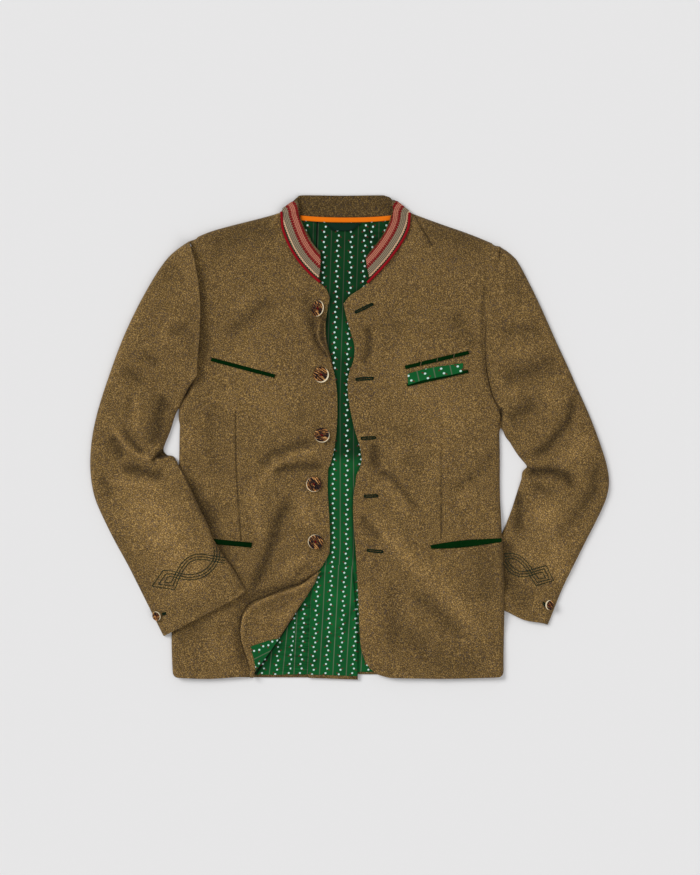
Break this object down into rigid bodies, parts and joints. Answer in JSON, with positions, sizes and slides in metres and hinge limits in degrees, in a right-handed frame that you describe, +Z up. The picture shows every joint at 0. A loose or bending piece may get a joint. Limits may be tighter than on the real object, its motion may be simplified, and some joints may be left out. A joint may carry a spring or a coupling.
{
  "type": "tyrolean loden jacket, laid flat and open",
  "caption": "Loden jacket with a stand collar, woven neck ribbon, antler buttons, velvet pocket welts and a printed lining, laid flat on its back with the front open.",
  "frame": {"origin": "on the surface the jacket lies on, below the middle of its outline", "axes": "+Z up from the surface, +Y from the hem to the collar, +X towards the wearer's left"},
  "size_m": [0.8319, 0.7755, 0.0274],
  "materials": {
    "loden": "fulled wool, matt, mottled olive brown",
    "lining": "smooth printed lining, green",
    "velvet": "dark green velvet",
    "antler": "sawn and polished antler",
    "ribbon": "woven ribbon in red, rose, taupe and green",
    "piping": "red piping",
    "tape": "orange tape",
    "tab": "dark green tab, bare"
  },
  "bodies": {
    "root": {"back_left": "loden", "back_right": "loden", "button_1": "antler", "button_2": "antler", "button_3": "antler", "button_4": "antler", "button_5": "antler", "collar": "loden", "cuff_button_left": "antler", "cuff_button_right": "antler", "facing_turnback": "loden", "front_left": "loden", "front_right": "loden", "lining_back": "lining", "lining_turnback": "lining", "neck_tab": "tab", "neck_tape": "tape", "piping_left": "piping", "piping_right": "piping", "pocket_square": "lining", "ribbon_left": "ribbon", "ribbon_right": "ribbon", "sleeve_left_top": "loden", "sleeve_left_under": "loden", "sleeve_right_top": "loden", "sleeve_right_under": "loden", "vent_lap": "loden", "vent_lining": "lining", "welt_chest_left": "velvet", "welt_chest_right": "velvet", "welt_hip_left": "velvet", "welt_hip_right": "velvet", "welt_square_left": "velvet"}
  },
  "joints": []
}
